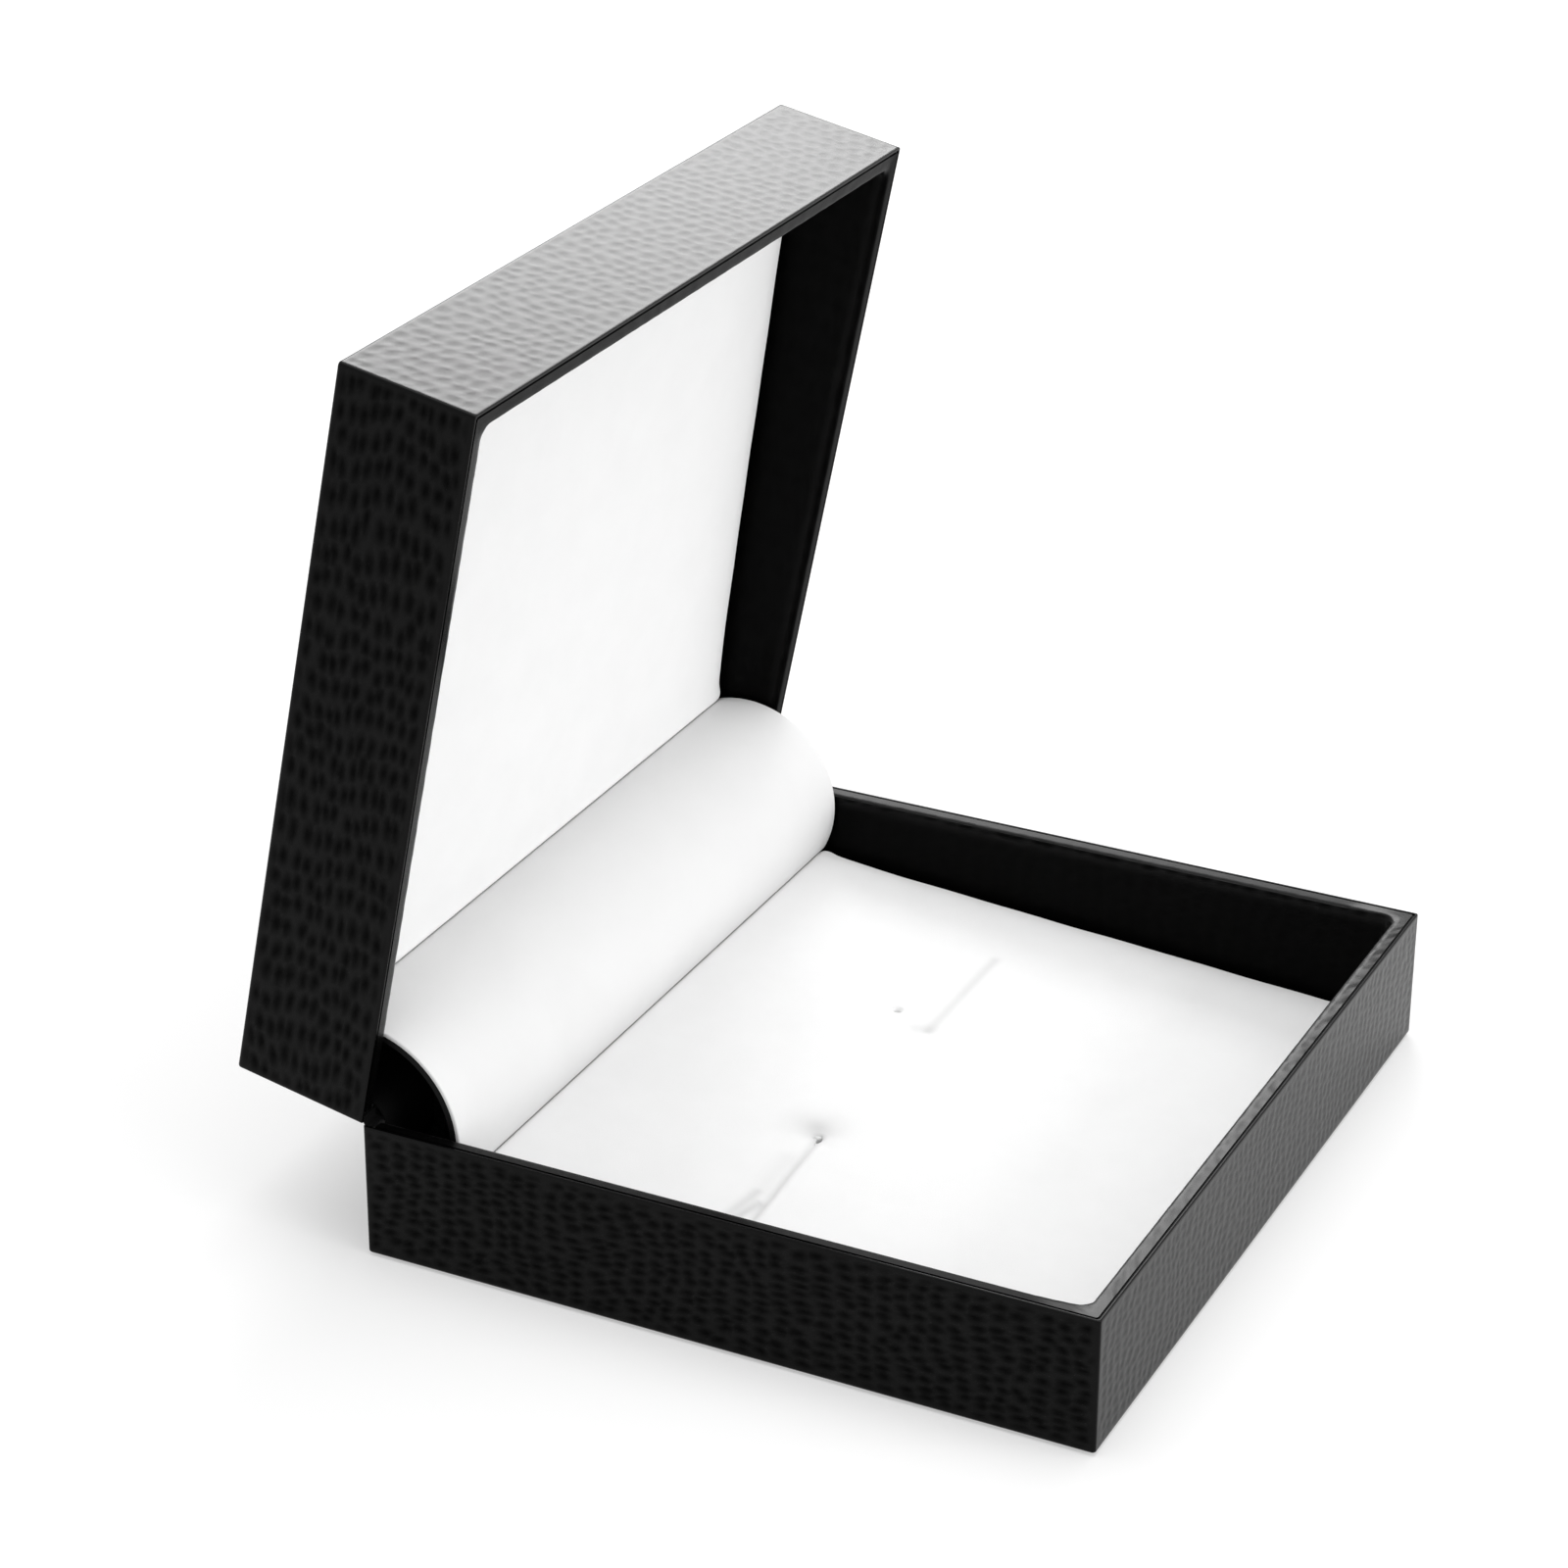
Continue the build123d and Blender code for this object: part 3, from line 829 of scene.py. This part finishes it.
def bridge_liner(half):
    """Bridge two outlines across the rim and pull the inner one along the wall."""
    rim = RIM[half]
    outer = open_outline(f"{half}_leather_liner", *LINER_OUT, LINER_BACK, OUT_CORNER, rim)
    inner = open_outline("liner_inner", *LINER_IN, LINER_BACK, IN_CORNER, rim)
    take(outer)
    inner.select_set(True)
    bpy.ops.object.join()
    bpy.ops.object.mode_set(mode="EDIT")
    bpy.ops.mesh.select_all(action="SELECT")
    bpy.ops.mesh.bridge_edge_loops(number_cuts=1, interpolation="LINEAR")

    def at_fold(a, b):
        """True for an edge where the strip turns down the wall."""
        return level(a, b, rim) and on_inner(a) and on_inner(b)

    pick_edges(outer, at_fold)
    push_out(LINER_FLOOR[half] - rim)
    pick_edges(outer, at_fold)
    bpy.ops.mesh.bevel(offset=LINER_FOLD * MM, segments=4, affect="EDGES")
    divide(outer, upright, 34)
    face_outwards()
    shape = bmesh.from_edit_mesh(outer.data)
    shape.faces.ensure_lookup_table()
    on_rim = max(shape.faces, key=lambda face: abs(face.normal.z))
    if (on_rim.normal.z > 0) != (half == "base"):
        bpy.ops.mesh.flip_normals()
    bpy.ops.object.mode_set(mode="OBJECT")
    return outer


# %% Lean, grain and wear of the liner


def lean_side_rims(piece, places, down):
    """Let both side rims sink a little towards the inside."""
    x, y, z = places.T
    slope = RIM_LEAN * rise(y, -46.0, 6.0) * (1 - rise(down, 0.0, 2.0))
    drop = slope * np.minimum(LINER_OUT[0] - np.abs(x), 2.0)
    move_points(piece, x, y, z - drop * (np.abs(x) > LINER_IN[0] - 0.01))


def press_liner(piece, places, down, pitch):
    """Grain down the wall, more of it along the side folds, and a little on the front rim."""
    x, y, z = places.T
    across = down + np.minimum(LINER_OUT[0] - np.abs(x), LINER_OUT[1] + y)
    side = np.abs(x) > LINER_IN[0] - IN_CORNER - 0.01
    along = np.where(side, y + LINER_START * np.sign(x), x)
    fold = np.exp(-(((across - 2.1) / 0.45) ** 2)) * side
    pressure = 0.7 * rise(down, WALL_FROM, WALL_OVER) + 1.5 * fold
    pressure += 0.6 * (1 - rise(down, 0.0, WALL_FROM)) * ~side
    emboss(piece, along, across + LINER_DEEP, pressure, pitch)


def wear_liner(piece, places, down, half):
    """Dull the inner wall, and take the polish off some of the rims."""
    x, y, z = places.T
    dull = 0.82 * rise(down, WALL_FROM, WALL_OVER)
    pit = piece.data.attributes["pit"].data
    pits = np.empty(len(down))
    pit.foreach_get("value", pits)
    pit.foreach_set("value", np.clip(pits * (1 - dull) + dull, 0.0, 1.0))
    right, left = (rise(sign * x, LINER_IN[0] - 1.0, 1.0) for sign in (1, -1))
    front = rise(-y, LINER_IN[1] - 1.0, 1.0)
    if half == "lid":
        matt = np.maximum(0.93 * right, 0.60 * front)
    else:
        matt = 0.60 * left * (1 - front)
    mark(piece, "matt", matt * (1 - rise(down, 0.4, 1.0)))


def build_liner(half):
    """One liner strip, leant, pressed, worn and given its thickness."""
    liner = bridge_liner(half)
    places = points_of(liner)
    down = np.abs(places[:, 2] - RIM[half])
    if half == "base":
        lean_side_rims(liner, places, down)
    press_liner(liner, places, down, PITCH[half][0])
    wear_liner(liner, places, down, half)
    apply(liner, "SOLIDIFY", thickness=SKIN * MM, offset=-1.0)
    return liner


liners = {}
for half in ("base", "lid"):
    liners[half] = build_liner(half)
    print(liners[half].name, "faces:", len(liners[half].data.polygons))

# %% Leatherette onto its bodies
for piece in (wraps["lid"], lid_top, liners["lid"]):
    swing_open(piece)
for half, pieces, node, covering in (
    ("base", [wraps["base"]], "base_wrap", leather),
    ("lid", [wraps["lid"], lid_top], "lid_wrap", leather),
    ("base", [liners["base"]], "base_liner", liner_leather),
    ("lid", [liners["lid"]], "lid_liner", liner_leather),
):
    for piece in pieces:
        dress(piece, covering, 40)
        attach(piece, half)
        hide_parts(node)
    low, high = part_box(node)
    print(node, [round(v, 4) for v in low], [round(v, 4) for v in high])

# %% [markdown]
# ## White pads
# The pad in the base and the panel in the lid are card with a thin foam, wrapped in white
# velvet. Their edges roll over softly, the middle is a little crowned and nothing on them
# is quite straight. A grid is drawn with its lines crowded towards the edges, shaped by a
# height for every vertex, and closed underneath. The pad also has two slits for a chain and
# two holes for earrings, which pull the fabric into small puckers.

# %% Shape of a wrapped pad


def crowded(t, share):
    """Move evenly spread places from -1 to 1 towards both ends."""
    return (1 - share) * t + share * np.sin(t * math.pi / 2)


def round_corners(x, y, half_x, half_y, radius):
    """Squeeze each corner of a rectangle into a quarter of a disc."""
    over_x = np.clip((np.abs(x) - half_x + radius) / radius, 0, 1)
    over_y = np.clip((np.abs(y) - half_y + radius) / radius, 0, 1)
    disc_x = over_x * np.sqrt(1 - over_y**2 / 2)
    disc_y = over_y * np.sqrt(1 - over_x**2 / 2)
    new_x = np.where(over_x > 0, np.sign(x) * (half_x - radius + radius * disc_x), x)
    new_y = np.where(over_y > 0, np.sign(y) * (half_y - radius + radius * disc_y), y)
    edge = radius * np.maximum(np.hypot(disc_x, disc_y), np.maximum(disc_x, disc_y))
    inside = np.minimum(half_x - np.abs(x), half_y - np.abs(y))
    from_edge = np.where((over_x > 0) | (over_y > 0), radius - edge, inside)
    return new_x, new_y, np.maximum(from_edge, 0.0)


def dent(distance, width, depth):
    """A smooth dip around a line or a point; it serves for heights and for painted shade."""
    return -depth * np.exp(-((distance / width) ** 2))


def from_line(x, y, start, end):
    """Distance from a straight line between two points."""
    run = np.array(end) - np.array(start)
    share = ((x - start[0]) * run[0] + (y - start[1]) * run[1]) / (run @ run)
    share = np.clip(share, 0, 1)
    return np.hypot(x - start[0] - share * run[0], y - start[1] - share * run[1])


# Slits and creases: two ends, width, depth and tone of painted shade. Holes: place, radius and strength,
# which sets both the pucker and the painted shade in the hole.
SLITS = (((-39.0, 51.5), (-17.0, 52.8), 0.55, 0.40, 0.18), ((15.2, 51.8), (38.1, 51.9), 0.80, 0.12, 0.17))
HOLES = ((-16.6, 53.0, 0.50, 1.0), (18.3, 57.8, 0.50, 0.35))
CREASES = (
    ((-41.0, 53.6), (-35.0, 52.4), 0.6, 0.10, 0.20), ((-41.0, 54.8), (-33.0, 53.8), 0.7, 0.08, 0.15),
    ((-39.5, 53.2), (-24.0, 53.8), 1.5, 0.06, 0.07), ((15.6, 51.9), (14.9, 53.4), 1.3, 0.06, 0.12),
    ((-15.0, 55.4), (-13.8, 53.0), 3.2, 0.05, 0.11), ((-15.9, 53.4), (-15.1, 53.9), 1.7, 0.05, 0.18),
)


def slit_height(x, y):
    """How high slits, holes and the puckers that they pull stand, and how much shade is painted on them.
    """
    height, shadow = np.zeros_like(x), np.zeros_like(x)
    for start, end, width, deep, shade_tone in SLITS:
        away = from_line(x, y, start, end)
        height += dent(away, width, deep) + dent(away, 1.8, 0.3 * deep)
        height += 0.08 * deep * np.exp(-(((away - 1.2) / 0.5) ** 2))
        shadow -= dent(away, width, shade_tone)
    for hole_x, hole_y, radius, share in HOLES:
        away = np.hypot(x - hole_x, y - hole_y)
        turn = np.arctan2(y - hole_y, x - hole_x)
        height += dent(away, radius, 1.3) + dent(away, 2.6, 0.30 * share)
        height += 0.05 * share * np.cos(4 * turn + 0.7) * np.exp(-(((away - 2.4) / 1.3) ** 2))
        shadow += (0.4 + 0.6 * share) * np.exp(-((away / (0.9 * radius)) ** 4))
    for start, end, width, deep, shade_tone in CREASES:
        away = from_line(x, y, start, end)
        height += dent(away, width, deep)
        shadow -= dent(away, width, shade_tone)
    return height, np.clip(shadow, 0.0, 1.0)


def near_slit(face):
    """True for a face of the pad close enough to a slit or hole to need fine mesh."""
    x, y = face.x / MM, face.y / MM
    beside = any(from_line(x, y, line[0], line[1]) < 2.6 for line in SLITS + CREASES[:2])
    return beside or any(math.hypot(x - h[0], y - h[1]) < 3.4 for h in HOLES)


# %% Build a pad
PAD_WIDTH, PAD_FRONT, PAD_CORNER = 108.2, -46.6, 1.6
REAR_ROLL, REAR_RISE = 0.20, 0.65  # the rear edge hugs the hinge cover
REAR_EASE = 3.0  # distance over which the rear edge changes
CROWDING = 0.72  # share by which the grid's lines crowd towards the edges


def fine_near_slits(mesh):
    """Divide the faces beside slits and holes, and divide them once more."""
    for _ in range(2):
        bpy.ops.mesh.select_mode(type="FACE")
        bpy.ops.mesh.select_all(action="DESELECT")
        shape = bmesh.from_edit_mesh(mesh)
        for face in shape.faces:
            face.select_set(near_slit(face.calc_center_median()))
        bmesh.update_edit_mesh(mesh)
        bpy.ops.mesh.subdivide(number_cuts=2)


def pad_height(x, y, from_edge, from_rear, length, thickness, roll, crown):
    """Rolled edges, a rise at the hinge cover, a crown, and slow waves as in any soft pad."""
    ease = rise(from_rear, 0.0, REAR_EASE)
    bend = REAR_ROLL + (roll - REAR_ROLL) * ease * ease * (3 - 2 * ease)
    rolled = np.minimum(from_edge, bend)
    height = thickness - bend + np.sqrt(np.maximum(bend**2 - (bend - rolled) ** 2, 0.0))
    height += REAR_RISE * np.exp(-from_rear / 7.0)
    full = (1 - (2 * x / PAD_WIDTH) ** 6) * (1 - (2 * y / length) ** 6)
    wave = np.sin(x * 0.11 + 0.6) * np.sin(y * 0.13 + 1.1) + 0.6 * np.sin(x * 0.23 - y * 0.19 + 2.0)
    return height + (crown + 0.045 * wave) * full


def pull_in(place, slow, start, quick):
    """How far the wrapping draws an edge in; it wanders along the edge."""
    return 0.10 + 0.06 * np.sin(place * slow + start) + 0.05 * np.sin(place * quick)


def wrapped_pad(name, length, thickness, roll, crown, reach, slitted):
    """A velvet pad lying flat with its front edge on the x axis."""
    fresh()
    bpy.ops.mesh.primitive_grid_add(x_subdivisions=120, y_subdivisions=100, size=2 * MM)
    piece = settle(name)
    x, y, z = points_of(piece).T
    move_points(piece, crowded(x, CROWDING) * PAD_WIDTH / 2, (crowded(y, CROWDING) + 1) * length / 2, z)
    if slitted:
        bpy.ops.object.mode_set(mode="EDIT")
        fine_near_slits(piece.data)
        bpy.ops.object.mode_set(mode="OBJECT")

    x, y, z = points_of(piece).T
    sunk, shadow = slit_height(x, y) if slitted else (0.0, None)
    y = y - length / 2
    new_x, new_y, from_edge = round_corners(x, y, PAD_WIDTH / 2, length / 2, PAD_CORNER)
    from_rear = length / 2 - y
    height = pad_height(x, y, from_edge, from_rear, length, thickness, roll, crown) + sunk
    at_edge = np.exp(-from_edge / 3.0)
    new_x = new_x - np.sign(new_x) * pull_in(new_y, 0.21, 0.5, 0.47) * at_edge
    new_y = new_y + np.where(y < 0, pull_in(new_x, 0.19, 1.5, 0.43) * at_edge, 0.0)
    new_y = new_y + reach * np.exp(-from_rear / REAR_EASE)
    # Keep the painted shade of slits, holes and creases, for the velvet's colour to read.
    if slitted:
        mark(piece, "painted_shade", shadow)
    move_points(piece, new_x, new_y + length / 2, height)

    bpy.ops.object.mode_set(mode="EDIT")
    pick_open_edges()
    push_out(0.0)
    bpy.ops.transform.resize(value=(1, 1, 0), center_override=(0, 0, 0.02 * MM))
    bpy.ops.mesh.edge_face_add()
    bpy.ops.mesh.inset(thickness=0.7 * MM, depth=-0.35 * MM)
    face_outwards()
    bpy.ops.object.mode_set(mode="OBJECT")
    return piece


def lay_in(piece, slope, seat, mirrored):
    """Tip a flat pad to its slope and lay its front edge on its seat."""
    take(piece)
    bpy.ops.object.mode_set(mode="EDIT")
    bpy.ops.mesh.select_all(action="SELECT")
    bpy.ops.transform.rotate(value=-math.radians(slope), orient_axis="X", center_override=(0, 0, 0))
    if mirrored:
        bpy.ops.transform.resize(value=(1, 1, -1), center_override=(0, 0, 0))
        bpy.ops.mesh.flip_normals()
    bpy.ops.transform.translate(value=Vector((0, PAD_FRONT, seat)) * MM)
    bpy.ops.object.mode_set(mode="OBJECT")


pad = wrapped_pad(
    "pad_velvet", length=85.96, thickness=2.0, roll=1.1, crown=0.22, reach=0.54, slitted=True
)
lay_in(pad, slope=3.763, seat=2.05, mirrored=False)
panel = wrapped_pad(
    "lid_panel_velvet", length=85.92, thickness=3.7, roll=1.5, crown=0.35, reach=0.47, slitted=False
)
lay_in(panel, slope=2.868, seat=36.2, mirrored=True)
swing_open(panel)
for piece, body, node in ((pad, "pad", "pad_cover"), (panel, "lid", "lid_panel_cover")):
    dress(piece, velvet, 60)
    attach(piece, body)
    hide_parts(node)
    low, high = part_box(node)
    mine = points_of(piece)
    print(piece.name, mine.min(0).round(2), mine.max(0).round(2))
    print("its solid", [round(v / MM, 2) for v in (*low, *high)])

# %% [markdown]
# ## Hinge cover
# Between the pads a white roll hides the hinge. It is velvet stretched over a curved
# plastic plate that turns at half the lid's rate. One straight line is divided and spun
# about the plate's centre, the sheet gets its thickness inwards, and its ends are rounded
# where the fabric folds over. Towards the pad the velvet is painted a little greyer, as
# painted shade along the seam.

# %% Spin the sheet
COVER_RADIUS, COVER_FABRIC = 14.5, 0.6
COVER_HALF_ANGLE = math.radians(68.21)
COVER_HALF_LENGTH = 54.3
COVER_SETBACK = 3.0  # the plate's centre lies this far behind the hinge pin
BISECTOR = OPEN_ANGLE / 2


def ahead(angle):
    """The direction at an angle above the line from the hinge to the front."""
    return Vector((0, -math.cos(angle), math.sin(angle)))


cover_centre = HINGE - ahead(BISECTOR) * COVER_SETBACK * MM
first = (cover_centre + COVER_RADIUS * MM * ahead(BISECTOR - COVER_HALF_ANGLE)) / MM
roll = straight_edge("hinge_cover_velvet", -COVER_HALF_LENGTH, COVER_HALF_LENGTH, first.y, first.z, 79)
bpy.ops.mesh.spin(steps=56, angle=2 * COVER_HALF_ANGLE, center=cover_centre, axis=(1, 0, 0))
bpy.ops.mesh.select_all(action="SELECT")
bpy.ops.mesh.remove_doubles(threshold=0.01 * MM)
face_outwards()
bpy.ops.object.mode_set(mode="OBJECT")
mine = points_of(roll)

# %% Fabric thickness and finish
# Painted shade greys the roll's velvet along its seam with the pad.
SEAM_SHADE, SEAM_SHADE_OVER = 0.15, 9.0  # how grey the nap is along the pad, and how far up it reaches

outward = sum(
    ((p.center - cover_centre).dot(p.normal) for p in roll.data.polygons if abs(p.center.x) < 0.04), 0.0
)
if outward < 0:
    roll.data.flip_normals()
apply(roll, "SOLIDIFY", thickness=COVER_FABRIC * MM, offset=-1.0)
apply(roll, "BEVEL", width=0.22 * MM, segments=3, limit_method="ANGLE", angle_limit=math.radians(60))
# The roll's foot, next to the pad, gets painted shade that fades out higher up the roll.
from_centre = points_of(roll) - np.array(cover_centre) / MM
round_it = np.arctan2(from_centre[:, 2], -from_centre[:, 1])
from_low = (round_it - round_it.min()) * COVER_RADIUS
mark(roll, "painted_shade", SEAM_SHADE * (1 - rise(from_low, 0.0, SEAM_SHADE_OVER)) ** 2)
print("length round the roll:", from_low.max().round(2))
dress(roll, roll_velvet, 50)
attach(roll, "hinge_cover")
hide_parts("hinge_cover_fabric")

# %% [markdown]
# ## Cloth hinge strips
# Beside the steel hinge, at both ends, the back walls only meet at a thin gap. A narrow
# strip of black cloth is glued inside over each gap, so no light comes through, and a small
# tab of the same cloth lies between the rims at each corner. They cross the joint, lying on
# the base at one end and on the open lid at the other. A line is drawn on the base, pulled
# step by step round the bend to the lid, and given its thickness.

# %% Routes of the cloth


def opened(y, z):
    """Where a point of the shut lid lies when the lid is open."""
    back, up = y - HINGE_Y, z - HINGE_Z
    turn = -OPEN_ANGLE
    return (
        HINGE_Y + back * math.cos(turn) - up * math.sin(turn),
        HINGE_Z + back * math.sin(turn) + up * math.cos(turn),
    )


STRIP_ENDS, TAB_ENDS = (43.0, 54.6), (52.6, 57.2)
STRIP = (
    (48.36, 12.0), (48.36, 15.5), (48.36, 18.3), (48.62, 19.15), (49.15, 19.95), (49.85, 20.58),
    (50.70, 20.82), (53.40, 21.36), (56.40, 21.96),
)
TAB = (
    (48.80, 18.91), (49.20, 18.91), (49.60, 18.91), (49.95, 19.0),
    opened(49.60, 19.09), opened(49.20, 19.09), opened(48.80, 19.09),
)
black_cloth = finish(
    "black_cloth", grey(0.002), grey(0.004), (0.80, 0.90), 2800.0, 0.020, 200.0, specular_ior_level=0.1
)
print("tab route:", [tuple(round(v, 2) for v in place) for place in TAB])

# %% Pull the strips and tabs


def pull_cloth(name, route, from_x, to_x, cuts, thickness):
    """A strip of cloth pulled along a route of (y, z) places, crossing the lid's joint."""
    cloth = straight_edge(name, from_x, to_x, *route[0], cuts)
    for before, after in zip(route, route[1:]):
        step = Vector((0, after[0] - before[0], after[1] - before[1])) * MM
        bpy.ops.mesh.extrude_edges_move(TRANSFORM_OT_translate={"value": step})
    face_outwards()
    bpy.ops.object.mode_set(mode="OBJECT")
    apply(cloth, "SUBSURF", levels=2, render_levels=2)
    apply(cloth, "SOLIDIFY", thickness=thickness * MM, offset=0.0)
    dress(cloth, black_cloth, 50)
    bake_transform(cloth)
    return cloth


for side, sign in (("left", -1), ("right", 1)):
    low, high = sorted(sign * x for x in TAB_ENDS)
    tab = pull_cloth(f"hinge_tab_{side}", TAB, low, high, 2, 0.10)
    low, high = sorted(sign * x for x in STRIP_ENDS)
    strip = pull_cloth(f"hinge_cloth_{side}", STRIP, low, high, 7, 0.2)
